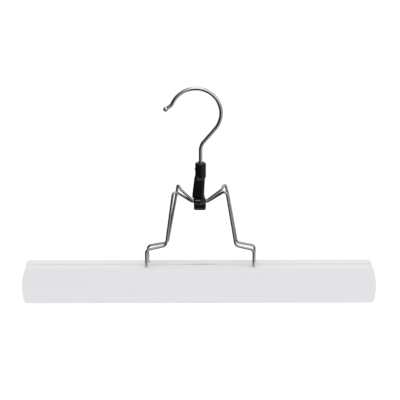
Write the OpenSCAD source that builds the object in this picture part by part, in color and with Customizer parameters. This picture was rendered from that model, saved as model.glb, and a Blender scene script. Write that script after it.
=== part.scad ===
// Clamp hanger for trousers and skirts: two wooden bars on crossed wire
// frames, closed by the plastic lever that hangs from the swivel hook.
// The origin is the inside of the hook's bend, straight above the swivel axis.
// X runs along the bars, +Y is the rear and +Z is up.

/* [Hook] */
// Diameter of the hook's wire
hook_wire_d = 3.8; // [3.4:0.1:4.4]
// Inside radius of the hook's bend
bend_inside_r = 24.2; // [20:0.2:30]
// How far the bend's centre lies beside the swivel axis
bend_offset = 5; // [3:0.1:8]
// Angle of the slanting neck from the vertical
neck_angle = 40; // [34:1:46]
// Radius of the bend from the neck into the shank
neck_bend_r = 14.5; // [10:0.5:18]
// Height from the rail down to the top of the lever
hook_drop = 76.8; // [72:0.2:94]
// Angle at which the bend ends above its horizontal centre line
tip_rise_angle = 24; // [15:1:35]
// Radius of the outward turn before the tip
tip_turn_r = 8; // [6:0.5:12]
// Angle of the outward turn before the tip
tip_turn_angle = 32; // [20:1:45]
// Straight length of wire behind the ball of the tip
tip_straight = 5.1; // [1.5:0.1:6]
// Diameter of the ball on the tip
tip_ball_d = 5.2; // [4.8:0.1:7]
// Diameter of the shank's upset head inside the lever
head_d = 6; // [5.6:0.1:6.2]
// Thickness of the upset head
head_t = 1.8; // [1.2:0.1:2.6]

/* [Lever] */
// Diameter of the round collar
collar_d = 11.2; // [10.8:0.1:13]
// Height of the collar
collar_h = 15.4; // [12:0.2:18]
// Chamfer round the top of the collar
collar_chamfer = 1.2; // [0.6:0.1:1.6]
// Height of the sloping shoulder under the collar
shoulder_h = 2.2; // [1.6:0.1:3]
// Width of the body under the collar
body_top_w = 10.6; // [10.2:0.1:11]
// Width of the body above the barrel
body_foot_w = 12.2; // [11.6:0.1:12.6]
// How far the body's top lies to the left of the swivel axis
body_left = 0.8; // [0:0.1:1]
// How far the leaning body's foot lies to the left of the swivel axis
body_lean = 2.6; // [1.2:0.1:2.8]
// Depth of the body under the shoulder
body_top_depth = 13.6; // [13:0.2:16]
// Radius of the body's upright corners
body_corner_r = 3.4; // [2:0.1:4.5]
// Width of the cam barrel
barrel_w = 12.8; // [12.8:0.1:13.4]
// How far the barrel lies to the left of the swivel axis
barrel_left = 0.8; // [0.2:0.1:1.2]
// Height from the lever's top down to its pivot wire
pivot_drop = 40.4; // [38:0.2:46]
// Wall round the pivot wire and the cam slot
barrel_wall = 1.6; // [1.5:0.1:2.2]
// Height of the window in front of the pivot wire
mouth_h = 2.2; // [1.8:0.1:2.3]
// Length of that window
mouth_l = 4.6; // [3:0.2:6]
// How far that window's middle lies to the left of the swivel axis
mouth_left = 2.8; // [1:0.1:3.6]
// Width of the window that the shank's head sits in
window_w = 6.6; // [6.4:0.1:7.4]
// Height of the window
window_h = 5.6; // [5:0.2:8]
// Diameter of the small pip on the collar's side
pip_d = 2.4; // [1.6:0.1:3]
// How far the pip stands out
pip_out = 0.6; // [0.4:0.1:1.2]
// How far the pip's centre lies under the lever's top
pip_drop = 7; // [4:0.2:9]
// Swing of the lever from locked to fully open
swing = 90; // [80:1:95]

/* [Wire frames] */
// Diameter of the frames' wire
wire_d = 2.7; // [2.4:0.1:2.9]
// Half the distance between the two middle stretches when locked
middle_half_gap = 4.2; // [4:0.1:4.6]
// Height of the jaw hinge above the front middle stretch
hinge_rise = 8; // [7.6:0.1:8.8]
// Drop from the jaw hinge to the rear middle stretch
rear_middle_drop = 12.3; // [12:0.1:13]
// Opening angle between the jaws when the lever is fully swung
jaw_open = 24; // [18:1:26]
// Half length of the pivot wire, up to where it turns
pivot_half_l = 7.6; // [7.6:0.1:8.6]
// Half length of the wire in the cam slot, up to where it turns
cam_half_l = 8.5; // [7.6:0.1:9.2]
// Sideways shift of each frame, so that the crossed wires lie side by side
side_shift = 0.8; // [0.4:0.1:1]
// Half span of the rear frame's peaks
peak_half = 24.8; // [24:0.2:25.6]
// Height of the peaks above the jaw hinge
peak_rise = 9.9; // [9.4:0.1:11]
// How far inside the peaks the rear frame's arms turn up to them
kink_in = 3.2; // [2.8:0.1:3.6]
// Height of those turns above the jaw hinge
kink_rise = 4.2; // [3:0.2:5]
// Half span of the front frame's upper corners
corner_half = 27.8; // [27.4:0.1:28.6]
// Height of those corners above the jaw hinge
corner_rise = 2.9; // [2.4:0.1:3.4]
// Half span of the legs at the feet
foot_half = 37.1; // [34:0.1:42]
// How far the legs lie to the right of their own frame's middle
leg_right = 1; // [0:0.1:1.4]
// Half span of the posts in the bars
post_half = 57.4; // [54:0.5:66]
// Drop from the jaw hinge to the inner end of the feet
leg_drop = 59; // [50:0.5:70]
// Drop along a foot, from its inner to its outer end
foot_fall = 4.4; // [3:0.2:7]
// Height of the feet's outer ends above the bars
post_show = 19; // [16:0.2:26]
// Depth of the posts in the bars
post_depth = 20; // [14:0.5:26]

/* [Bars] */
// Length of the bars
bar_l = 380; // [320:2:420]
// How far the bars' middle lies to the left of the swivel axis
bar_left = 1.6; // [0:0.1:3]
// Height of the bars
bar_h = 40; // [36:0.5:48]
// Thickness of each bar
bar_t = 12.25; // [11:0.25:16]
// How far the rounded ends bulge from corner to middle
end_bulge = 3.3; // [2:0.1:6]
// How far the middle of that bulge lies below the bars' middle
bulge_drop = 3; // [0:0.5:5]
// Radius of the bars' corners seen from the front
corner_r = 2; // [1.5:0.1:4]
// Radius along the bars' long edges
edge_r = 2; // [1:0.1:3]
// Half length of the shallow relief in the middle of the inner faces
relief_half = 24; // [16:1:34]
// Depth of the relief
relief_depth = 0.8; // [0.4:0.1:1.2]
// Height of the relief from the top of the bars
relief_h = 7; // [5:0.5:8]

/* [Lining] */
// Thickness of the felt strips
felt_t = 1; // [0.8:0.1:1.6]
// How far the felt stands proud of the wood
felt_proud = 0.2; // [0.1:0.05:0.4]
// Height of the felt strips
felt_h = 28; // [22:0.5:30]
// Bare wood between the felt and the bars' ends
felt_inset = 9; // [6:0.5:16]

/* [Fits] */
// Radial clearance of the shank in the collar
swivel_clear = 0.08; // [0.05:0.01:0.1]
// Radial clearance of the pivot wire in the lever
pivot_clear = 0.06; // [0.05:0.01:0.1]
// Clearance on each side of the wire in the cam slot
slot_clear = 0.35; // [0.3:0.05:0.5]
// Clearance over the shank's head
head_clear = 0.3; // [0.2:0.05:0.5]
// Gap between the two felt faces when the jaws are closed
grip_gap = 0.3; // [0.3:0.05:0.6]

/* [Hidden] */
$fn = 64;
eps = 0.01;
// A wire's straight lengths stop this short of its bends, under a collar of
// this length that stands this proud
seam_gap = 0.06;
seam_l = 0.24;
seam_proud = 0.03;
// More than the lever's body measures, for shapes that are cut down to it
over = 30;

// Hook: the bend's centre line and where it meets the neck and the tip
hook_r = bend_inside_r + hook_wire_d / 2;
bend_z = -sqrt(bend_inside_r * bend_inside_r - bend_offset * bend_offset);
neck_x = hook_r * cos(neck_angle) - bend_offset;
neck_z = bend_z - hook_r * sin(neck_angle);
neck_l = neck_x / sin(neck_angle);
elbow_z = neck_z - neck_l * cos(neck_angle);
elbow_cut = neck_bend_r * tan(neck_angle / 2);
tip_end_angle = 180 - tip_rise_angle;

// Heights in the lever and the frames
lever_z = -hook_drop;
collar_foot_z = lever_z - collar_h;
window_z = collar_foot_z - shoulder_h;
pivot_z = lever_z - pivot_drop;
hinge_z = pivot_z + hinge_rise;
rear_middle_z = hinge_z - rear_middle_drop;
foot_z = hinge_z - leg_drop;
post_z = foot_z - foot_fall;
bar_z = post_z - post_show;

// Depths: the inner faces of the bars and the posts in the middle of the wood
bar_in = grip_gap / 2 + felt_proud;
post_y = bar_in + bar_t / 2;
foot_y = post_y - 1.4;
wire_r = wire_d / 2;

// The rear frame's arms lean a little to the front up to their turns. Its wire
// crosses to the rear over its peaks, and its legs start there, beside and
// below the hinge. The front frame's wire crosses under them.
kink_y = -middle_half_gap - 0.2;
peak_y = 0.2 - wire_r;
leg_out = 2.3;
leg_top_drop = 3;
leg_top_y = wire_r + 1.4;
corner_y = -wire_r - 1.8;

// Wire routes of half a frame, from the middle stretch out to the post's end,
// and the bend radius at each point. side is 1 for the right half and -1 for
// the left, which is drawn mirrored.
function rear_route(side) = [
    [pivot_half_l - side * (barrel_left + side_shift), -middle_half_gap, pivot_z],
    [peak_half - kink_in, kink_y, hinge_z + kink_rise],
    [peak_half, peak_y, hinge_z + peak_rise],
    [peak_half + leg_out + side * leg_right, leg_top_y, hinge_z - leg_top_drop],
    [foot_half + side * leg_right, foot_y, foot_z],
    [post_half, post_y, post_z],
    [post_half, post_y, bar_z - post_depth]];
rear_bends = [3, 3.2, 2.2, 8, 5, 4.5];
function front_route(side) = [
    [cam_half_l - side * (barrel_left - side_shift), middle_half_gap, rear_middle_z],
    [corner_half, corner_y, hinge_z + corner_rise],
    [foot_half + side * leg_right, -foot_y, foot_z],
    [post_half, -post_y, post_z],
    [post_half, -post_y, bar_z - post_depth]];
front_bends = [3, 3.4, 5, 4.5];

// Cam slot: where the rear middle stretch lies in the lever as it swings,
// measured from the pivot wire, in Y and Z
slot_steps = 24;
slot_r = wire_r + slot_clear;
pivot_from_hinge = [-middle_half_gap, -hinge_rise];
rear_from_hinge = [middle_half_gap, -rear_middle_drop];
function turned(p, a) = [p[0] * cos(a) - p[1] * sin(a), p[0] * sin(a) + p[1] * cos(a)];
function slot_point(t) =
    turned(turned(rear_from_hinge, -jaw_open * t) - pivot_from_hinge, -swing * t);
slot_line = [for (i = [0:slot_steps]) slot_point(i / slot_steps)];
function slot_side(i, w) =
    let (a = slot_line[max(i - 1, 0)], b = slot_line[min(i + 1, slot_steps)], d = b - a)
    slot_line[i] + [-d[1], d[0]] * w / norm(d);
function arc(centre, r, from, to, steps) =
    [for (i = [0:steps])
        let (a = from + (to - from) * i / steps)
        centre + r * [cos(a), sin(a)]];
function heading(i) =
    let (d = slot_line[min(i + 1, slot_steps)] - slot_line[max(i - 1, 0)])
    atan2(d[1], d[0]);
// Outline of the slot at half width w, with round ends
function slot_outline(w) = concat(
    [for (i = [1:slot_steps - 1]) slot_side(i, w)],
    arc(slot_line[slot_steps], w, heading(slot_steps) + 90, heading(slot_steps) - 90, 12),
    [for (i = [slot_steps - 1:-1:1]) slot_side(i, -w)],
    arc(slot_line[0], w, heading(0) - 90, heading(0) - 270, 12));
pivot_wall_r = wire_r + pivot_clear + barrel_wall;
slot_wall_r = slot_r + barrel_wall;
body_foot_z = pivot_z + pivot_wall_r;

// Bars: outline and lining
bulge_r = (bar_h * bar_h / 4 + end_bulge * end_bulge) / (2 * end_bulge);
bulge_x = bar_l / 2 - bulge_r;
corner_z = bar_h / 2 - corner_r;
function corner_x(z) = bulge_x + sqrt(pow(bulge_r - corner_r, 2) - pow(z + bulge_drop, 2));
relief_r = (relief_half * relief_half + relief_depth * relief_depth) / (2 * relief_depth);
felt_l = bar_l - 2 * end_bulge - 2 * felt_inset;
rebate_depth = felt_t - felt_proud;
felt_z = bar_z - bar_h / 2 - 2;

function unit(v) = v / norm(v);

// A round rod from a to b
module rod(a, b, d) {
    v = b - a;
    translate(a)
        rotate([0, acos(v[2] / norm(v)), atan2(v[1], v[0])])
            cylinder(d = d, h = norm(v));
}

// A short collar, a few hundredths proud, that joins a straight length to a bend
module seam(at, way, d) {
    rod(at - way * seam_l / 2, at + way * seam_l / 2, d + 2 * seam_proud);
}

// A bend of radius r that turns a wire from direction into to direction out
module bend(start, into, out, r, d) {
    axis = unit(cross(into, out));
    inward = cross(axis, into);
    radial = -inward;
    translate(start + inward * r)
        rotate([atan2(into[2], axis[2]), -asin(radial[2]), atan2(radial[1], radial[0])])
            rotate_extrude(angle = acos(into * out))
                translate([r, 0])
                    circle(d = d);
}

// Half a frame's wire along its route, from the frame's middle to the post's end
module half_wire(route, bends, d) {
    points = concat([[0, route[0][1], route[0][2]]], route);
    last = len(points) - 1;
    ways = [for (i = [0:last - 1]) unit(points[i + 1] - points[i])];
    cuts = [for (i = [0:last])
        i == 0 || i == last ? 0 : bends[i - 1] * tan(acos(ways[i - 1] * ways[i]) / 2)];
    for (i = [0:last - 1]) {
        from = i == 0 ? 0 : cuts[i] + seam_gap;
        to = i == last - 1 ? 0 : cuts[i + 1] + seam_gap;
        rod(points[i] + ways[i] * from, points[i + 1] - ways[i] * to, d);
    }
    for (i = [1:last - 1]) {
        before = points[i] - ways[i - 1] * cuts[i];
        bend(before, ways[i - 1], ways[i], bends[i - 1], d);
        seam(before, ways[i - 1], d);
        seam(points[i] + ways[i] * cuts[i], ways[i], d);
    }
}

module wire_frame(right, left, bends) {
    half_wire(right, bends, wire_d);
    mirror([1, 0, 0])
        half_wire(left, bends, wire_d);
}

// An arc of the hook in the XZ plane
module hook_arc(x, z, r, from, to) {
    translate([x, 0, z])
        rotate([90, 0, 0])
            rotate([0, 0, from])
                rotate_extrude(angle = to - from)
                    translate([r, 0])
                        circle(d = hook_wire_d);
}

module hook() {
    reach = hook_r + tip_turn_r;
    turn_x = reach * cos(tip_end_angle) - bend_offset;
    turn_z = bend_z + reach * sin(tip_end_angle);
    turn_from = tip_end_angle - 180;
    end = [turn_x + tip_turn_r * cos(turn_from - tip_turn_angle), 0,
           turn_z + tip_turn_r * sin(turn_from - tip_turn_angle)];
    way = [sin(turn_from - tip_turn_angle), 0, -cos(turn_from - tip_turn_angle)];
    elbow = [0, 0, elbow_z];
    slant = [sin(neck_angle), 0, cos(neck_angle)];
    rise = [0, 0, 1];
    neck = [neck_x, 0, neck_z];
    tip = [hook_r * cos(tip_end_angle) - bend_offset, 0,
           bend_z + hook_r * sin(tip_end_angle)];
    gap = asin(seam_gap / tip_turn_r);
    color("silver") {
        hook_arc(-bend_offset, bend_z, hook_r, -neck_angle, tip_end_angle);
        seam(tip, [-sin(tip_end_angle), 0, cos(tip_end_angle)], hook_wire_d);
        hook_arc(turn_x, turn_z, tip_turn_r, turn_from - tip_turn_angle, turn_from - gap);
        seam(end, way, hook_wire_d);
        rod(end + way * seam_gap, end + way * tip_straight, hook_wire_d);
        translate(end + way * tip_straight)
            sphere(d = tip_ball_d);
        seam(neck, slant, hook_wire_d);
        rod(elbow + slant * (elbow_cut + seam_gap), neck - slant * seam_gap, hook_wire_d);
        seam(elbow + slant * elbow_cut, slant, hook_wire_d);
        hook_arc(neck_bend_r, elbow_z - elbow_cut, neck_bend_r, 180 - neck_angle, 180);
        seam(elbow - rise * elbow_cut, rise, hook_wire_d);
        rod([0, 0, window_z - head_clear - head_t / 2],
            elbow - rise * (elbow_cut + seam_gap), hook_wire_d);
        translate([0, 0, window_z - head_clear - head_t])
            cylinder(d = head_d, h = head_t);
    }
}

// A flat shape drawn in Y and Z, made w wide and centred on x = 0
module across(w) {
    translate([-w / 2, 0, 0])
        rotate([90, 0, 90])
            linear_extrude(height = w)
                children();
}

// Outline of the barrel round the pivot wire and the cam slot
module barrel_outline() {
    translate([-middle_half_gap, pivot_z]) {
        circle(r = pivot_wall_r);
        polygon(concat([[0, 0]], slot_line));
        polygon(slot_outline(slot_wall_r));
    }
}

// Outline of the body from the shoulder down to the barrel
module body_outline() {
    half = body_top_depth / 2;
    foot_in = 0.5;
    polygon([
        [-collar_d / 2, collar_foot_z + eps],
        [collar_d / 2, collar_foot_z + eps],
        [half, window_z],
        [middle_half_gap + slot_wall_r - foot_in, rear_middle_z],
        [middle_half_gap, rear_middle_z],
        [-middle_half_gap, pivot_z],
        [-middle_half_gap - pivot_wall_r + foot_in, pivot_z],
        [-half, window_z]]);
}

// Front view of the body, which widens downwards, leans to the left and tucks
// in to the barrel
module body_front() {
    barrel_edge = -barrel_left - barrel_w / 2 + 0.2;
    tuck_z = pivot_z + wire_r + 0.8;
    polygon([
        [-body_left - body_top_w / 2, collar_foot_z + 1],
        [-body_left + body_top_w / 2, collar_foot_z + 1],
        [-body_lean + body_foot_w / 2, body_foot_z],
        [-body_lean + body_foot_w / 2, pivot_z - over],
        [barrel_edge, pivot_z - over],
        [barrel_edge, tuck_z],
        [-body_lean - body_foot_w / 2, body_foot_z]]);
}

// Plan of the body: a block with round upright corners
module body_plan() {
    w = body_foot_w - 2 * body_corner_r;
    depth = 2 * (middle_half_gap + slot_wall_r) + 2;
    square([body_foot_w, depth - 2 * body_corner_r], center = true);
    square([w, depth], center = true);
    for (x = [-1, 1], y = [-1, 1])
        translate([x * w / 2, y * (depth / 2 - body_corner_r)])
            circle(r = body_corner_r);
}

module lever() {
    lean = atan((body_lean - body_left) / (collar_foot_z - body_foot_z));
    color("#1c1c1e")
    difference() {
        union() {
            translate([0, 0, collar_foot_z])
                cylinder(d = collar_d, h = collar_h - collar_chamfer);
            translate([0, 0, lever_z - collar_chamfer])
                cylinder(d1 = collar_d, d2 = collar_d - 2 * collar_chamfer, h = collar_chamfer);
            translate([-collar_d / 2 - pip_out, 0, lever_z - pip_drop])
                rotate([0, 90, 0])
                    cylinder(d = pip_d, h = collar_d / 2);
            intersection() {
                across(2 * over)
                    body_outline();
                rotate([90, 0, 0])
                    linear_extrude(height = 2 * over, center = true)
                        body_front();
                translate([-body_lean, 0, body_foot_z])
                    rotate([0, lean, 0])
                        linear_extrude(height = 2 * over, center = true)
                            body_plan();
            }
            translate([-barrel_left, 0, 0])
                across(barrel_w)
                    barrel_outline();
        }
        // Bore for the shank and the window for its head, open at the rear
        translate([0, 0, window_z - eps])
            cylinder(r = hook_wire_d / 2 + swivel_clear, h = collar_h + shoulder_h + 1);
        translate([-window_w / 2, -window_w / 2, window_z - window_h])
            cube([window_w, window_w / 2 + over, window_h]);
        // Bore for the pivot wire and the window in front of it
        translate([-over, -middle_half_gap, pivot_z])
            rotate([0, 90, 0])
                cylinder(r = wire_r + pivot_clear, h = 2 * over);
        translate([-mouth_left - mouth_l / 2, -middle_half_gap - over, pivot_z - mouth_h / 2])
            cube([mouth_l, over, mouth_h]);
        // Cam slot for the rear middle stretch
        across(2 * over)
            translate([-middle_half_gap, pivot_z])
                polygon(slot_outline(slot_r));
    }
}

module rear_frame() {
    color("silver")
        translate([side_shift, 0, 0])
            wire_frame(rear_route(1), rear_route(-1), rear_bends);
}

module front_frame() {
    color("silver")
        translate([-side_shift, 0, 0])
            wire_frame(front_route(1), front_route(-1), front_bends);
}

// Front view of a bar, centred: straight edges, and ends that bulge between
// round corners
module bar_front() {
    low_x = corner_x(-corner_z);
    high_x = corner_x(corner_z);
    low_turn = atan2(bulge_drop - corner_z, low_x - bulge_x);
    high_turn = atan2(bulge_drop + corner_z, high_x - bulge_x);
    end = concat(
        arc([low_x, -corner_z], corner_r, -90, low_turn, 5),
        arc([bulge_x, -bulge_drop], bulge_r, low_turn, high_turn, 20),
        arc([high_x, corner_z], corner_r, high_turn, 90, 5));
    last = len(end) - 1;
    polygon(concat(end, [for (i = [last:-1:0]) [-end[i][0], end[i][1]]]));
}

// Cross section of a bar, centred
module bar_section() {
    square([bar_t, bar_h - 2 * edge_r], center = true);
    square([bar_t - 2 * edge_r, bar_h], center = true);
    for (y = [-1, 1], z = [-1, 1])
        translate([y * (bar_t / 2 - edge_r), z * (bar_h / 2 - edge_r)])
            circle(r = edge_r);
}

// A bar behind the closing plane, with its holes for the posts of a frame
// that is shifted sideways by shift
module bar(shift) {
    difference() {
        translate([-bar_left, post_y, bar_z - bar_h / 2])
            intersection() {
                rotate([90, 0, 0])
                    linear_extrude(height = bar_t + 2, center = true)
                        bar_front();
                across(bar_l)
                    bar_section();
            }
        for (x = [-1, 1])
            translate([shift + x * post_half, post_y, bar_z - post_depth])
                cylinder(d = wire_d, h = post_depth + 1);
        translate([0, bar_in + relief_depth - relief_r, bar_z - relief_h])
            cylinder(r = relief_r, h = relief_h + 1, $fn = 360);
        translate([-bar_left - felt_l / 2, bar_in - 1, felt_z - felt_h / 2])
            cube([felt_l, rebate_depth + 1, felt_h]);
    }
}

module rear_bar() {
    color("#f2f2f0")
        bar(side_shift);
}

module front_bar() {
    color("#f2f2f0")
        mirror([0, 1, 0])
            bar(-side_shift);
}

module felt_strip() {
    translate([-bar_left - felt_l / 2, bar_in - felt_proud, felt_z - felt_h / 2])
        cube([felt_l, felt_t, felt_h]);
}

module rear_felt() {
    color("#d8d6d0")
        felt_strip();
}

module front_felt() {
    color("#d8d6d0")
        mirror([0, 1, 0])
            felt_strip();
}

hook();
lever();
front_frame();
rear_frame();
front_bar();
rear_bar();
front_felt();
rear_felt();
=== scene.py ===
import math

import bmesh
import bpy
from mathutils import Matrix, Vector, noise


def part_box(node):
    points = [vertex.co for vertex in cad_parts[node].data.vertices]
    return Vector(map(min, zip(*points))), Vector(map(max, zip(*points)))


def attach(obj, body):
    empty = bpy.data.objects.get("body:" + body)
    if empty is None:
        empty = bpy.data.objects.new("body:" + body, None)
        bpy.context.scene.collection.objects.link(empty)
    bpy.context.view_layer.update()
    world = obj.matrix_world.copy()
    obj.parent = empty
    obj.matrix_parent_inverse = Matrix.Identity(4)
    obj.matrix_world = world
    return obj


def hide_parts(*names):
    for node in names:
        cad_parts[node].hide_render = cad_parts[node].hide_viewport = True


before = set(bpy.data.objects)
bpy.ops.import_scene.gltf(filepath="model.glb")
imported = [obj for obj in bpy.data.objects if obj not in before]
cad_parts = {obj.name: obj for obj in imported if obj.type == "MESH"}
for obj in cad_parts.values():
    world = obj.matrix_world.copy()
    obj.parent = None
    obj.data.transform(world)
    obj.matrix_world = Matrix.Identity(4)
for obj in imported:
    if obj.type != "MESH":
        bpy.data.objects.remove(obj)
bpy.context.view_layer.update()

# Clamp hanger for trousers: plated wire hook and frames, a black moulded
# lever, and two lacquered wooden bars lined with felt. Lengths are in
# millimetres; piece() turns them to metres. X runs along the bars, +Y is the
# rear and +Z is up, from the inside of the hook's bend.
MM = 0.001

# Hook
HOOK_WIRE_R = 1.9
BEND_INSIDE_R = 24.2
BEND_OFFSET = 5
NECK_ANGLE = math.radians(40)
NECK_BEND_R = 14.5
TIP_RISE = math.radians(24)
TIP_TURN = math.radians(32)
TIP_TURN_R = 8
TIP_STRAIGHT = 5.1
TIP_BALL_R = 2.6
HEAD_R = 3
HEAD_T = 1.8

# Lever
LEVER_TOP_Z = -76.8
COLLAR_R = 5.6
COLLAR_H = 15.4
COLLAR_CHAMFER = 1.2
SHOULDER_H = 2.2
HEAD_CLEAR = 0.3
WINDOW_W = 6.6
WINDOW_H = 5.6
MOUTH_H = 2.2
MOUTH_L = 4.6
MOUTH_LEFT = 2.8
PIP_DROP = 7
BARREL_HALF_W = 6.4
BARREL_LEFT = 0.8
BARREL_WALL = 1.6
PIVOT_CLEAR = 0.06
SLOT_CLEAR = 0.35
SWIVEL_CLEAR = 0.08
SWING = math.radians(90)
JAW_OPEN = math.radians(24)
SLOT_STEPS = 24
PIP_R = 1.2
PIP_OUT = 0.6
# Steps at each end of the barrel, as how much shorter and how much slimmer;
# the smoothing eases over them
BARREL_STEPS = ((3.2, 0), (1.6, 0.3), (0.6, 0.7), (0, 1.2))
# Grid and passes of the smoothing, and what it takes off the collar
GRAIN = 0.28
PASSES = 8
SMOOTHING_LOSS = 0.12
# Length that runs a cutter right through the lever
THROUGH = 30

# Wire frames
WIRE_R = 1.35
MIDDLE_HALF_GAP = 4.2
PIVOT_Z = LEVER_TOP_Z - 40.4
HINGE_Z = PIVOT_Z + 8
REAR_MIDDLE_Z = HINGE_Z - 12.3
PIVOT_HALF_L = 7.6
CAM_HALF_L = 8.5
SIDE_SHIFT = 0.8
FOOT_Z = HINGE_Z - 59
POST_Z = FOOT_Z - 4.4
POST_HALF = 57.4
PEAK_HALF = 24.8
PEAK_RISE = 9.9
PEAK_Y = 0.2 - WIRE_R
KINK_IN = 3.2
KINK_RISE = 4.2
KINK_Y = -MIDDLE_HALF_GAP - 0.2
LEG_OUT = 2.3
LEG_TOP_DROP = 3
LEG_TOP_Y = WIRE_R + 1.4
CORNER_HALF = 27.8
CORNER_RISE = 2.9
CORNER_Y = -WIRE_R - 1.8
FOOT_HALF = 37.1
FOOT_IN = 1.4
LEG_RIGHT = 1
POST_DEPTH = 20
REAR_BENDS = [3, 3.2, 2.2, 8, 5, 4.5]
FRONT_BENDS = [3, 3.4, 5, 4.5]
BURR = 0.3

# Bars
END_BULGE = 3.3
BULGE_DROP = 3
CORNER_R = 2
EDGE_R = 2
RELIEF_HALF = 24
RELIEF_DEPTH = 0.8
RELIEF_H = 7
REBATE_DEPTH = 0.8

COLLAR_FOOT_Z = LEVER_TOP_Z - COLLAR_H
WINDOW_Z = COLLAR_FOOT_Z - SHOULDER_H
PIVOT_WALL_R = WIRE_R + PIVOT_CLEAR + BARREL_WALL
SLOT_R = WIRE_R + SLOT_CLEAR
SLOT_WALL_R = SLOT_R + BARREL_WALL
# A face larger than this that lies square to an axis is a flat
FLAT_AREA = 50


def node_box(name):
    """A node's lowest and highest corners, in millimetres."""
    low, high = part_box(name)
    return low / MM, high / MM


# Meshes

def piece(name, bm, body, node, material, sharp=35):
    """Turns a mesh in millimetres into a finished piece in place of its node."""
    mesh = bpy.data.meshes.new(name)
    bmesh.ops.recalc_face_normals(bm, faces=bm.faces)
    bm.to_mesh(mesh)
    bm.free()
    mesh.transform(Matrix.Scale(MM, 4))
    mesh.shade_smooth()
    mesh.set_sharp_from_angle(angle=math.radians(sharp))
    # Large flats keep their own direction, so that only the roundings shade round
    for face in mesh.polygons:
        if face.area > FLAT_AREA * MM ** 2 and max(abs(c) for c in face.normal) > 0.9999:
            face.use_smooth = False
    mesh.materials.append(material)
    made = bpy.data.objects.new(name, mesh)
    bpy.context.scene.collection.objects.link(made)
    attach(made, body)
    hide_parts(node)
    return made


def loose(bm):
    """A mesh as an object of its own, for a modifier to work on or cut with."""
    mesh = bpy.data.meshes.new("loose")
    bmesh.ops.recalc_face_normals(bm, faces=bm.faces)
    bm.to_mesh(mesh)
    bm.free()
    made = bpy.data.objects.new("loose", mesh)
    bpy.context.scene.collection.objects.link(made)
    return made


def finished(made, helpers=()):
    """The mesh of a loose object with its modifiers applied, as a bmesh."""
    bpy.context.view_layer.update()
    graph = bpy.context.evaluated_depsgraph_get()
    bm = bmesh.new()
    bm.from_mesh(made.evaluated_get(graph).data)
    for gone in [made, *helpers]:
        bpy.data.objects.remove(gone)
    return bm


def cut(bm, cutters):
    """Takes each cutter's solid out of a solid."""
    made = loose(bm)
    helpers = [loose(cutter) for cutter in cutters]
    for helper in helpers:
        step = made.modifiers.new("cut", "BOOLEAN")
        step.operation = "DIFFERENCE"
        step.solver = "EXACT"
        step.object = helper
    return finished(made, helpers)


def soft_union(parts, grain, passes):
    """One moulded body from overlapping solids, with its edges rounded."""
    whole = bmesh.new()
    for part in parts:
        mesh = bpy.data.meshes.new("part")
        bmesh.ops.recalc_face_normals(part, faces=part.faces)
        part.to_mesh(mesh)
        part.free()
        whole.from_mesh(mesh)
    made = loose(whole)
    weld = made.modifiers.new("weld", "REMESH")
    weld.mode = "VOXEL"
    weld.voxel_size = grain
    ease = made.modifiers.new("ease", "SMOOTH")
    ease.factor = 0.5
    ease.iterations = passes
    return finished(made)


def arc(centre, radius, start, end, steps):
    """Points of an arc in a plane, angles in radians."""
    points = []
    for i in range(steps + 1):
        angle = start + (end - start) * i / steps
        points.append((centre[0] + radius * math.cos(angle),
                       centre[1] + radius * math.sin(angle)))
    return points


def extrude(outline, place, thickness):
    """A flat outline pushed out to a solid. place(u, v, w) gives each point."""
    bm = bmesh.new()
    ends = []
    for w in (-thickness / 2, thickness / 2):
        ends.append([bm.verts.new(place(u, v, w)) for u, v in outline])
    bm.faces.new(ends[0])
    bm.faces.new(ends[1])
    for i in range(len(outline)):
        j = (i + 1) % len(outline)
        bm.faces.new((ends[0][i], ends[0][j], ends[1][j], ends[1][i]))
    return bm


def sideways(u, v, w):
    """A point of an outline drawn in Y and Z and pushed out along X."""
    return Vector((w, u, v))


def loft(rings):
    """A closed skin over rings of points, with an n-sided face at each end."""
    bm = bmesh.new()
    rows = [[bm.verts.new(point) for point in ring] for ring in rings]
    for lower, upper in zip(rows, rows[1:]):
        for i in range(len(lower)):
            j = (i + 1) % len(lower)
            bm.faces.new((lower[i], lower[j], upper[j], upper[i]))
    bm.faces.new(rows[0])
    bm.faces.new(rows[-1])
    return bm


def turned(profile, x, y, sides):
    """A solid turned about an upright axis at x, y from (radius, z) pairs."""
    rings = []
    for radius, z in profile:
        ring = []
        for i in range(sides):
            angle = 2 * math.pi * i / sides
            ring.append(Vector((x + radius * math.cos(angle), y + radius * math.sin(angle), z)))
        rings.append(ring)
    return loft(rings)


def drill(place, foot, top, radius, mouth_r, sides):
    """A cutter for an upright hole with a countersunk mouth."""
    return turned([(radius, foot), (radius, top - 0.35),
                   (mouth_r, top + 0.05), (mouth_r, top + 1)], *place, sides)


def rounded_line(corners, radii, step=math.radians(5)):
    """A centre line through corners, with a bend of its own radius at each."""
    line = [corners[0]]
    for before, corner, after, radius in zip(corners, corners[1:], corners[2:], radii):
        into = (corner - before).normalized()
        out = (after - corner).normalized()
        turn = into.angle(out)
        start = corner - into * radius * math.tan(turn / 2)
        inward = (out - into * into.dot(out)).normalized()
        centre = start + inward * radius
        axis = into.cross(inward)
        steps = max(2, math.ceil(turn / step))
        for i in range(steps + 1):
            line.append(centre + Matrix.Rotation(turn * i / steps, 3, axis) @ (start - centre))
    line.append(corners[-1])
    return line


def sweep(line, radii, sides):
    """A round bar along a centre line, with a radius at each of its points."""
    ways = [(b - a).normalized() for a, b in zip(line, line[1:])]
    tangents = [ways[0]]
    tangents += [(a + b).normalized() for a, b in zip(ways, ways[1:])]
    tangents.append(ways[-1])
    side = tangents[0].orthogonal().normalized()
    rings = []
    before = tangents[0]
    for point, tangent, radius in zip(line, tangents, radii):
        side = before.rotation_difference(tangent) @ side
        before = tangent
        other = tangent.cross(side)
        ring = []
        for i in range(sides):
            angle = 2 * math.pi * i / sides
            ring.append(point + (side * math.cos(angle) + other * math.sin(angle)) * radius)
        rings.append(ring)
    return loft(rings)


# Materials

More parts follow.
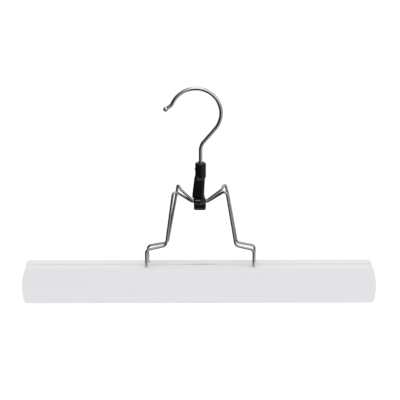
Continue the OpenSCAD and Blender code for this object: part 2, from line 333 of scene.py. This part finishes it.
def linear(code):
    """An sRGB hex colour as linear red, green, blue and alpha."""
    values = []
    for i in (0, 2, 4):
        share = int(code[i:i + 2], 16) / 255
        values.append(share / 12.92 if share <= 0.04045 else ((share + 0.055) / 1.055) ** 2.4)
    return (*values, 1)


def add(tree, kind, inputs=(), **settings):
    """Adds a node, with its settings and its inputs as values or links."""
    made = tree.nodes.new(kind)
    for name, value in settings.items():
        setattr(made, name, value)
    for name, value in dict(inputs).items():
        if isinstance(value, bpy.types.NodeSocket):
            tree.links.new(value, made.inputs[name])
        else:
            made.inputs[name].default_value = value
    return made


def new_material(name):
    made = bpy.data.materials.new(name)
    made.use_nodes = True
    made.node_tree.nodes.clear()
    return made, made.node_tree


def plated_wire(name, colour):
    """Nickel and chrome plate on drawn wire: a mirror, with the faint cloudy
    haze that barrel polishing leaves. The thinner plate on the spring wire
    of the frames is a shade darker than the hook's."""
    made, tree = new_material(name)
    place = add(tree, "ShaderNodeTexCoord").outputs["Object"]
    # Polishing haze in patches of about 3 mm
    haze = add(tree, "ShaderNodeTexNoise",
               {"Vector": place, "Scale": 1 / (3 * MM), "Detail": 3})
    rough = add(tree, "ShaderNodeMapRange",
                {"Value": haze.outputs["Fac"], "From Min": 0.3, "From Max": 0.7,
                 "To Min": 0.05, "To Max": 0.11})
    # Drawing and polishing marks, 0.4 mm apart
    marks = add(tree, "ShaderNodeTexNoise",
                {"Vector": place, "Scale": 1 / (0.4 * MM), "Detail": 2})
    bump = add(tree, "ShaderNodeBump",
               {"Height": marks.outputs["Fac"], "Strength": 0.25, "Distance": 0.002 * MM})
    surface = add(tree, "ShaderNodeBsdfPrincipled",
                  {"Base Color": linear(colour), "Metallic": 1,
                   "Roughness": rough.outputs["Result"], "Normal": bump.outputs["Normal"]})
    add(tree, "ShaderNodeOutputMaterial", {"Surface": surface.outputs["BSDF"]})
    return made


def black_abs():
    """ABS moulded black in a finely spark-eroded tool: deep black, with soft
    highlights along its edges."""
    made, tree = new_material("moulded_black_abs")
    place = add(tree, "ShaderNodeTexCoord").outputs["Object"]
    # Eroded grain of the tool, 0.5 mm
    grain = add(tree, "ShaderNodeTexNoise",
                {"Vector": place, "Scale": 1 / (0.5 * MM), "Detail": 4})
    # Handling marks in patches of about 5 mm
    wear = add(tree, "ShaderNodeTexNoise",
               {"Vector": place, "Scale": 1 / (5 * MM), "Detail": 3})
    rough = add(tree, "ShaderNodeMapRange",
                {"Value": wear.outputs["Fac"], "From Min": 0.3, "From Max": 0.7,
                 "To Min": 0.2, "To Max": 0.28})
    shade = add(tree, "ShaderNodeMix",
                {"Factor": wear.outputs["Fac"], "A": linear("09090B"), "B": linear("0D0D0F")},
                data_type="RGBA")
    bump = add(tree, "ShaderNodeBump",
               {"Height": grain.outputs["Fac"], "Strength": 0.3, "Distance": 0.02 * MM})
    surface = add(tree, "ShaderNodeBsdfPrincipled",
                  {"Base Color": shade.outputs["Result"], "IOR": 1.53,
                   "Specular IOR Level": 0.3, "Roughness": rough.outputs["Result"],
                   "Normal": bump.outputs["Normal"]})
    add(tree, "ShaderNodeOutputMaterial", {"Surface": surface.outputs["BSDF"]})
    return made


def white_lacquer():
    """Beech under sprayed white satin lacquer: an even cool white, with the
    grain only just telegraphing through the film."""
    made, tree = new_material("white_lacquered_beech")
    place = add(tree, "ShaderNodeTexCoord").outputs["Object"]
    # Grain along the bar, drawn 1.5 mm wide and 60 mm long so that it shows
    grain_place = add(tree, "ShaderNodeMapping",
                      {"Vector": place,
                       "Scale": (1 / (60 * MM), 1 / (1.5 * MM), 1 / (1.5 * MM))})
    grain = add(tree, "ShaderNodeTexNoise",
                {"Vector": grain_place.outputs["Vector"], "Scale": 1, "Detail": 5})
    # Ripple of the sprayed film, 2.5 mm
    ripple = add(tree, "ShaderNodeTexNoise",
                 {"Vector": place, "Scale": 1 / (2.5 * MM), "Detail": 1})
    shade = add(tree, "ShaderNodeMix",
                {"Factor": grain.outputs["Fac"], "A": linear("E0E0E3"), "B": linear("E6E6E8")},
                data_type="RGBA")
    rough = add(tree, "ShaderNodeMapRange",
                {"Value": grain.outputs["Fac"], "From Min": 0.3, "From Max": 0.7,
                 "To Min": 0.34, "To Max": 0.44})
    film = add(tree, "ShaderNodeBump",
               {"Height": ripple.outputs["Fac"], "Strength": 0.3, "Distance": 0.01 * MM})
    pores = add(tree, "ShaderNodeBump",
                {"Height": grain.outputs["Fac"], "Strength": 0.4, "Distance": 0.02 * MM,
                 "Normal": film.outputs["Normal"]})
    surface = add(tree, "ShaderNodeBsdfPrincipled",
                  {"Base Color": shade.outputs["Result"], "IOR": 1.5,
                   "Roughness": rough.outputs["Result"], "Normal": pores.outputs["Normal"]})
    add(tree, "ShaderNodeOutputMaterial", {"Surface": surface.outputs["BSDF"]})
    return made


def wool_felt():
    """Pressed wool felt: matt, off-white, with matted fibres that catch light."""
    made, tree = new_material("pressed_wool_felt")
    place = add(tree, "ShaderNodeTexCoord").outputs["Object"]
    # Matted fibres, 0.3 mm, and thicker and thinner patches of 4 mm
    fibres = add(tree, "ShaderNodeTexNoise",
                 {"Vector": place, "Scale": 1 / (0.3 * MM), "Detail": 6, "Distortion": 1.5})
    patches = add(tree, "ShaderNodeTexNoise",
                  {"Vector": place, "Scale": 1 / (4 * MM), "Detail": 3})
    blend = add(tree, "ShaderNodeMath",
                {0: fibres.outputs["Fac"], 1: patches.outputs["Fac"]}, operation="MULTIPLY")
    shade = add(tree, "ShaderNodeMix",
                {"Factor": blend.outputs["Value"], "A": linear("BDB9B0"), "B": linear("E8E6DF")},
                data_type="RGBA")
    bump = add(tree, "ShaderNodeBump",
               {"Height": fibres.outputs["Fac"], "Strength": 0.8, "Distance": 0.15 * MM})
    surface = add(tree, "ShaderNodeBsdfPrincipled",
                  {"Base Color": shade.outputs["Result"], "Roughness": 0.95,
                   "Sheen Weight": 0.35, "Sheen Roughness": 0.5,
                   "Normal": bump.outputs["Normal"]})
    add(tree, "ShaderNodeOutputMaterial", {"Surface": surface.outputs["BSDF"]})
    return made


# Hook

def hook():
    bend_r = BEND_INSIDE_R + HOOK_WIRE_R
    bend_z = -math.sqrt(BEND_INSIDE_R ** 2 - BEND_OFFSET ** 2)
    neck = Vector((bend_r * math.cos(NECK_ANGLE) - BEND_OFFSET, 0,
                   bend_z - bend_r * math.sin(NECK_ANGLE)))
    elbow = Vector((0, 0, neck.z - neck.x / math.tan(NECK_ANGLE)))
    head_z = WINDOW_Z - HEAD_CLEAR - HEAD_T
    # Upset head, with its edges rolled over
    line = [Vector((0, 0, head_z + rise))
            for rise in (0, 0.25, HEAD_T - 0.25, HEAD_T, HEAD_T + 0.3)]
    radii = [HEAD_R - 0.5, HEAD_R, HEAD_R, HEAD_R - 0.4, HOOK_WIRE_R]
    # Shank and slanting neck
    shank = rounded_line([line[-1], elbow, neck], [NECK_BEND_R])[1:]
    # Bend over the rail, from the neck round to where the wire turns out
    end_angle = math.pi - TIP_RISE
    over = arc((-BEND_OFFSET, bend_z), bend_r, -NECK_ANGLE, end_angle, 60)[1:]
    reach = bend_r + TIP_TURN_R
    turn = (reach * math.cos(end_angle) - BEND_OFFSET, bend_z + reach * math.sin(end_angle))
    out_angle = end_angle - math.pi
    away = arc(turn, TIP_TURN_R, out_angle, out_angle - TIP_TURN, 8)[1:]
    route = shank + [Vector((x, 0, z)) for x, z in over + away]
    line += route
    radii += [HOOK_WIRE_R] * len(route)
    # Ball on the tip, which swells out of the wire
    way = Vector((math.sin(out_angle - TIP_TURN), 0, -math.cos(out_angle - TIP_TURN)))
    centre = line[-1] + way * TIP_STRAIGHT
    start = -math.acos(HOOK_WIRE_R / TIP_BALL_R)
    stop = math.radians(84)
    steps = 12
    for i in range(steps + 1):
        angle = start + (stop - start) * i / steps
        line.append(centre + way * TIP_BALL_R * math.sin(angle))
        radii.append(TIP_BALL_R * math.cos(angle))
    return sweep(line, radii, 32)


# Wire frames

def wire_frame(route, bends, shift):
    """One frame's wire, from the foot of its left post to that of its right.
    route(side) gives the points of a half, with side 1 at the right."""
    right = [Vector((x + shift, y, z)) for x, y, z in route(1)]
    left = [Vector((shift - x, y, z)) for x, y, z in reversed(route(-1))]
    line = rounded_line(left + right, bends[::-1] + bends)
    # Sheared ends, with the burr rolled off
    first = (line[1] - line[0]).normalized()
    last = (line[-2] - line[-1]).normalized()
    line = [line[0], line[0] + first * BURR] + line[1:-1] + [line[-1] + last * BURR, line[-1]]
    radii = [WIRE_R - BURR] + [WIRE_R] * (len(line) - 2) + [WIRE_R - BURR]
    return sweep(line, radii, 24)


def rear_frame(bar_top, post_y):
    def route(side):
        leg = side * LEG_RIGHT
        return [(PIVOT_HALF_L - side * (BARREL_LEFT + SIDE_SHIFT), -MIDDLE_HALF_GAP, PIVOT_Z),
                (PEAK_HALF - KINK_IN, KINK_Y, HINGE_Z + KINK_RISE),
                (PEAK_HALF, PEAK_Y, HINGE_Z + PEAK_RISE),
                (PEAK_HALF + LEG_OUT + leg, LEG_TOP_Y, HINGE_Z - LEG_TOP_DROP),
                (FOOT_HALF + leg, post_y - FOOT_IN, FOOT_Z),
                (POST_HALF, post_y, POST_Z),
                (POST_HALF, post_y, bar_top - POST_DEPTH)]

    return wire_frame(route, REAR_BENDS, SIDE_SHIFT)


def front_frame(bar_top, post_y):
    def route(side):
        return [(CAM_HALF_L - side * (BARREL_LEFT - SIDE_SHIFT), MIDDLE_HALF_GAP, REAR_MIDDLE_Z),
                (CORNER_HALF, CORNER_Y, HINGE_Z + CORNER_RISE),
                (FOOT_HALF + side * LEG_RIGHT, FOOT_IN - post_y, FOOT_Z),
                (POST_HALF, -post_y, POST_Z),
                (POST_HALF, -post_y, bar_top - POST_DEPTH)]

    return wire_frame(route, FRONT_BENDS, -SIDE_SHIFT)


# Lever

def turned_point(point, angle):
    return (point[0] * math.cos(angle) - point[1] * math.sin(angle),
            point[0] * math.sin(angle) + point[1] * math.cos(angle))


def slot_line():
    """Where the rear middle stretch lies in the lever as it swings, in Y and Z."""
    points = []
    for i in range(SLOT_STEPS + 1):
        share = i / SLOT_STEPS
        opened = turned_point((MIDDLE_HALF_GAP, REAR_MIDDLE_Z - HINGE_Z), -JAW_OPEN * share)
        from_pivot = (opened[0] + MIDDLE_HALF_GAP, opened[1] + HINGE_Z - PIVOT_Z)
        swung = turned_point(from_pivot, -SWING * share)
        points.append((swung[0] - MIDDLE_HALF_GAP, swung[1] + PIVOT_Z))
    return points


def slot_outline(half_width):
    """Outline of the slot's sweep at a half width, with round ends."""
    line = slot_line()
    last = len(line) - 1
    sides = ([], [])
    for i in range(1, last):
        (ay, az), (by, bz) = line[i - 1], line[i + 1]
        heading = math.atan2(bz - az, by - ay)
        for side, way in zip(sides, (1, -1)):
            side.append((line[i][0] - math.sin(heading) * half_width * way,
                         line[i][1] + math.cos(heading) * half_width * way))
    first = math.atan2(line[1][1] - line[0][1], line[1][0] - line[0][0])
    final = math.atan2(line[last][1] - line[last - 1][1], line[last][0] - line[last - 1][0])
    quarter = math.pi / 2
    return (sides[0] + arc(line[last], half_width, final + quarter, final - quarter, 12)
            + sides[1][::-1]
            + arc(line[0], half_width, first - quarter, first - 3 * quarter, 12))


# Levels of the body as (z, left edge, right edge, front edge, rear edge): it
# widens downwards and leans to the left, and ends under the barrel's top
BODY_LEVELS = [
    (COLLAR_FOOT_Z + 1.2, -5.7, 5, -5.3, 5.3),
    (COLLAR_FOOT_Z - 0.2, -6.1, 4.9, -5.7, 5.7),
    (WINDOW_Z, -6.5, 4.6, -6.8, 6.8),
    (WINDOW_Z - 9, -7.6, 4.1, -7.1, 7.2),
    (PIVOT_Z + 6, -8.5, 3.7, -7.4, 7.8),
    (PIVOT_Z + 3.3, -8.8, 3.6, -7.1, 7.4),
    (PIVOT_Z + 2, -7.3, 4.6, -6.8, 7.3),
    (PIVOT_Z - 3, -6.9, 4.8, -6.3, 7.2)]
BODY_CORNER_R = 2.8


def rounded_box_ring(z, left, right, front, rear):
    ring = []
    r = BODY_CORNER_R
    for x, y, start in ((right - r, rear - r, 0), (left + r, rear - r, 90),
                        (left + r, front + r, 180), (right - r, front + r, 270)):
        for px, py in arc((x, y), r, math.radians(start), math.radians(start + 90), 6):
            ring.append(Vector((px, py, z)))
    return ring


def in_barrel(u, v, w):
    """A point of an outline drawn in Y and Z and pushed out along the barrel."""
    return Vector((w - BARREL_LEFT, u, v))


def rounded_barrel():
    """The barrel as solids that step in at its ends."""
    pivot = (-MIDDLE_HALF_GAP, PIVOT_Z)
    solids = []
    for shorter, slimmer in BARREL_STEPS:
        width = 2 * BARREL_HALF_W - shorter
        nose = arc(pivot, PIVOT_WALL_R - slimmer, 0, 2 * math.pi, 40)[:-1]
        for outline in (nose, slot_outline(SLOT_WALL_R - slimmer), [pivot] + slot_line()):
            solids.append(extrude(outline, in_barrel, width))
    return solids


def lever():
    collar_r = COLLAR_R + SMOOTHING_LOSS
    collar = turned([(collar_r - 0.4, COLLAR_FOOT_Z - 1), (collar_r, COLLAR_FOOT_Z),
                     (collar_r, LEVER_TOP_Z - COLLAR_CHAMFER),
                     (collar_r - COLLAR_CHAMFER, LEVER_TOP_Z)], 0, 0, 48)
    body = loft([rounded_box_ring(*level) for level in BODY_LEVELS])
    full = 2 * math.pi
    pip = loft([[Vector((-COLLAR_R - out, y, z)) for y, z in
                 arc((0, LEVER_TOP_Z - PIP_DROP), radius, 0, full, 20)[:-1]]
                for out, radius in ((-2, PIP_R), (PIP_OUT / 2, PIP_R), (PIP_OUT, PIP_R - 0.4))])
    whole = soft_union([collar, body, pip, *rounded_barrel()], GRAIN, PASSES)
    bore = drill((0, 0), WINDOW_Z - 1, LEVER_TOP_Z,
                 HOOK_WIRE_R + SWIVEL_CLEAR, HOOK_WIRE_R + 0.5, 40)
    # Window for the hook's head, open to the rear, and the small one in front
    half = WINDOW_W / 2
    window = extrude([(-half, WINDOW_Z - WINDOW_H), (20, WINDOW_Z - WINDOW_H),
                      (20, WINDOW_Z), (-half, WINDOW_Z)], sideways, WINDOW_W)
    pivot = (-MIDDLE_HALF_GAP, PIVOT_Z)
    pin = extrude(arc(pivot, WIRE_R + PIVOT_CLEAR, 0, full, 40)[:-1], sideways, THROUGH)
    slot = extrude(slot_outline(SLOT_R), sideways, THROUGH)

    def in_front(u, v, w):
        return Vector((u - MOUTH_LEFT, w - MIDDLE_HALF_GAP - 10, v + PIVOT_Z))

    mouth = extrude([(-MOUTH_L / 2, -MOUTH_H / 2), (MOUTH_L / 2, -MOUTH_H / 2),
                     (MOUTH_L / 2, MOUTH_H / 2), (-MOUTH_L / 2, MOUTH_H / 2)], in_front, 20)
    return cut(whole, [bore, window, pin, mouth, slot])


# Bars

def bar(node, shift, facing):
    """A bar drilled for its posts, relieved in the middle of its inner face and
    rebated for the felt. facing is 1 at the rear and -1 at the front. Its edges
    are square, because the bevel of its rims comes out without width."""
    low, high = node_box(node)
    felt_low, felt_high = node_box(node.replace("bar", "felt"))
    mid = (low + high) / 2
    size = high - low
    bulge_r = (size.z ** 2 / 4 + END_BULGE ** 2) / (2 * END_BULGE)
    bulge_x = size.x / 2 - bulge_r
    corner_z = size.z / 2 - CORNER_R
    bulge = (bulge_x, -BULGE_DROP)
    corners = []
    for z in (-corner_z, corner_z):
        rise = z + BULGE_DROP
        reach = math.sqrt((bulge_r - CORNER_R) ** 2 - rise ** 2)
        corners.append(((bulge_x + reach, z), math.atan2(rise, reach)))
    (low_corner, low_turn), (high_corner, high_turn) = corners
    end = (arc(low_corner, CORNER_R, -math.pi / 2, low_turn, 7)
           + arc(bulge, bulge_r, low_turn, high_turn, 24)[1:]
           + arc(high_corner, CORNER_R, high_turn, math.pi / 2, 7)[1:])
    outline = end + [(-u, v) for u, v in reversed(end)]

    def upright(u, v, w):
        return Vector((mid.x + u, mid.y + w, mid.z + v))

    bm = extrude(outline, upright, size.y)
    rims = [edge for edge in bm.edges if abs(edge.verts[0].co.y - edge.verts[1].co.y) < 0.01]
    bmesh.ops.bevel(bm, geom=rims, offset=EDGE_R, segments=6, profile=0.5, affect="EDGES")
    inner_y = low.y if facing > 0 else high.y
    cutters = []
    for x in (shift - POST_HALF, shift + POST_HALF):
        cutters.append(drill((x, mid.y), high.z - POST_DEPTH, high.z,
                             WIRE_R, WIRE_R + 0.45, 32))
    # Relief, a shallow hollow under the lever, with a soft lower edge
    relief_r = (RELIEF_HALF ** 2 + RELIEF_DEPTH ** 2) / (2 * RELIEF_DEPTH)
    reach = math.asin((RELIEF_HALF + 4) / relief_r)
    centre_y = inner_y + facing * (RELIEF_DEPTH - relief_r)
    hollow = [(relief_r * math.sin(angle), centre_y + facing * relief_r * math.cos(angle))
              for angle in [reach * (i / 20 - 1) for i in range(41)]]
    hollow += [(hollow[-1][0], inner_y - facing * 3), (hollow[0][0], inner_y - facing * 3)]

    def level(u, v, w):
        return Vector((u, v, high.z - RELIEF_H / 2 + 0.5 + w))

    cutters.append(extrude(hollow, level, RELIEF_H + 1))
    near, far = sorted((inner_y - facing, inner_y + facing * REBATE_DEPTH))
    rebate = [(near, felt_low.z), (near, felt_high.z), (far, felt_high.z), (far, felt_low.z)]

    def along(u, v, w):
        return Vector((mid.x + w, u, v))

    cutters.append(extrude(rebate, along, felt_high.x - felt_low.x))
    return cut(bm, cutters)


# Felt

def felt_strip(node, facing):
    """A strip of felt, with a slightly uneven face and a soft cut edge."""
    low, high = node_box(node)
    size = high - low
    cell = 2.4
    across, up = round(size.x / cell), round(size.z / cell)
    back_y, face_y = (high.y, low.y) if facing > 0 else (low.y, high.y)
    outward = 1 if face_y > back_y else -1
    bm = bmesh.new()
    sheets = []
    for y, drift in ((back_y, 0), (face_y, 0.07)):
        rows = []
        for j in range(up + 1):
            row = []
            for i in range(across + 1):
                edge = i in (0, across) or j in (0, up)
                x = low.x + size.x * i / across
                z = low.z + size.z * j / up
                sink = drift * (0.5 + 0.5 * noise.noise(Vector((x, z, 0)) / 5))
                sink += 0.18 if edge and drift else 0
                row.append(bm.verts.new((x, y - outward * sink, z)))
            rows.append(row)
        for lower, upper in zip(rows, rows[1:]):
            for i in range(across):
                bm.faces.new((lower[i], lower[i + 1], upper[i + 1], upper[i]))
        sheets.append(rows)
    rims = []
    for rows in sheets:
        rims.append(rows[0] + [row[-1] for row in rows[1:]] + rows[-1][-2::-1]
                    + [row[0] for row in rows[-2:0:-1]])
    count = len(rims[0])
    for i in range(count):
        j = (i + 1) % count
        bm.faces.new((rims[0][i], rims[0][j], rims[1][j], rims[1][i]))
    return bm


# Studio

def area_light(name, place, aim, size, power):
    data = bpy.data.lights.new(name, "AREA")
    data.shape = "RECTANGLE"
    data.size, data.size_y = size
    data.energy = power
    made = bpy.data.objects.new(name, data)
    made.location = place
    made.rotation_euler = (Vector(aim) - Vector(place)).to_track_quat("-Z", "Y").to_euler()
    bpy.context.scene.collection.objects.link(made)


def mirror_surround(tree):
    """What gloss sees by direction: a white wall in front and above, a grey one
    at the right, a white panel high at the rear, and dark room elsewhere. It
    draws the dark lines in the chrome and keeps the black moulding black. Each
    edge() runs from dark to white along an axis of the unit direction."""
    ways = add(tree, "ShaderNodeSeparateXYZ",
               {"Vector": add(tree, "ShaderNodeTexCoord").outputs["Generated"]}).outputs

    def edge(way, dark, white):
        return add(tree, "ShaderNodeMapRange",
                   {"Value": ways[way], "From Min": dark, "From Max": white},
                   interpolation_type="SMOOTHSTEP").outputs["Result"]

    def both(kind, a, b):
        return add(tree, "ShaderNodeMath", {0: a, 1: b}, operation=kind).outputs["Value"]

    wall = both("MULTIPLY", edge("Y", 0.1, -0.25),
                both("MULTIPLY", edge("Z", -0.05, 0.15), edge("X", -0.6, -0.25)))
    right = both("MULTIPLY", edge("X", 0.05, 0.25), 0.45)
    rear = both("MULTIPLY", edge("Y", 0.5, 0.7), edge("Z", 0.15, 0.35))
    return both("MAXIMUM", both("MAXIMUM", wall, right), both("MAXIMUM", rear, 0.03))


def studio():
    scene = bpy.context.scene
    scene.view_settings.view_transform = "Standard"
    world = bpy.data.worlds.new("white_surround")
    scene.world = world
    world.use_nodes = True
    # Only gloss sees the surround's pattern, so it needs no sampling as a light
    world.cycles.sampling_method = "NONE"
    tree = world.node_tree
    gloss = add(tree, "ShaderNodeLightPath").outputs["Is Glossy Ray"]
    strength = add(tree, "ShaderNodeMix",
                   {"Factor": gloss, "A": 0.95, "B": mirror_surround(tree)})
    back = tree.nodes["Background"]
    back.inputs["Color"].default_value = (1, 1, 1, 1)
    tree.links.new(strength.outputs["Result"], back.inputs["Strength"])

    pale, tree = new_material("pale_floor")
    surface = add(tree, "ShaderNodeBsdfPrincipled",
                  {"Base Color": (0.9, 0.9, 0.9, 1), "Roughness": 0.9,
                   "Emission Color": (1, 1, 1, 1), "Emission Strength": 0.2})
    add(tree, "ShaderNodeOutputMaterial", {"Surface": surface.outputs["BSDF"]})
    reach, floor_z = 20, -0.75
    mesh = bpy.data.meshes.new("floor")
    mesh.from_pydata([(-reach, -reach, floor_z), (reach, -reach, floor_z),
                      (reach, reach, floor_z), (-reach, reach, floor_z)], [], [(0, 1, 2, 3)])
    mesh.materials.append(pale)
    floor = bpy.data.objects.new("floor", mesh)
    bpy.context.scene.collection.objects.link(floor)
    # Gloss looks past the floor, so that it sees the dark room below
    floor.visible_glossy = False

    area_light("top_softbox", (0.1, -0.2, 1.6), (0, 0, -0.1), (1, 0.5), 4.2)


def camera():
    """The photograph's view: from about 19 degrees above, straight on."""
    image_px, focal_px = 400, 1184
    distance, azimuth, elevation = 1.25, math.radians(-0.32), math.radians(19.43)
    target = Vector((-0.0006, 0, -0.1183))
    back = Vector((math.sin(azimuth) * math.cos(elevation),
                   -math.cos(azimuth) * math.cos(elevation), math.sin(elevation)))
    data = bpy.data.cameras.new("camera")
    data.sensor_width = 36
    data.lens = focal_px / image_px * data.sensor_width
    made = bpy.data.objects.new("camera", data)
    made.location = target + back * distance
    made.rotation_euler = (-back).to_track_quat("-Z", "Y").to_euler()
    bpy.context.scene.collection.objects.link(made)
    bpy.context.scene.camera = made


def build():
    chrome = plated_wire("bright_chrome_plate", "D8DADD")
    spring_chrome = plated_wire("chrome_on_spring_wire", "BCBEC2")
    abs_black, lacquer, felt = black_abs(), white_lacquer(), wool_felt()
    bar_low, bar_high = node_box("rear_bar")
    post_y = (bar_low.y + bar_high.y) / 2
    piece("plated_hook", hook(), "hook", "hook", chrome)
    piece("moulded_lever", lever(), "lever", "lever", abs_black)
    piece("rear_wire_frame", rear_frame(bar_high.z, post_y),
          "rear_jaw", "rear_frame", spring_chrome)
    piece("front_wire_frame", front_frame(bar_high.z, post_y),
          "front_jaw", "front_frame", spring_chrome)
    for side, body, shift, facing in (("rear", "rear_jaw", SIDE_SHIFT, 1),
                                      ("front", "front_jaw", -SIDE_SHIFT, -1)):
        piece(side + "_lacquered_bar", bar(side + "_bar", shift, facing),
              body, side + "_bar", lacquer)
        piece(side + "_felt_strip", felt_strip(side + "_felt", facing),
              body, side + "_felt", felt)


camera()
studio()
build()
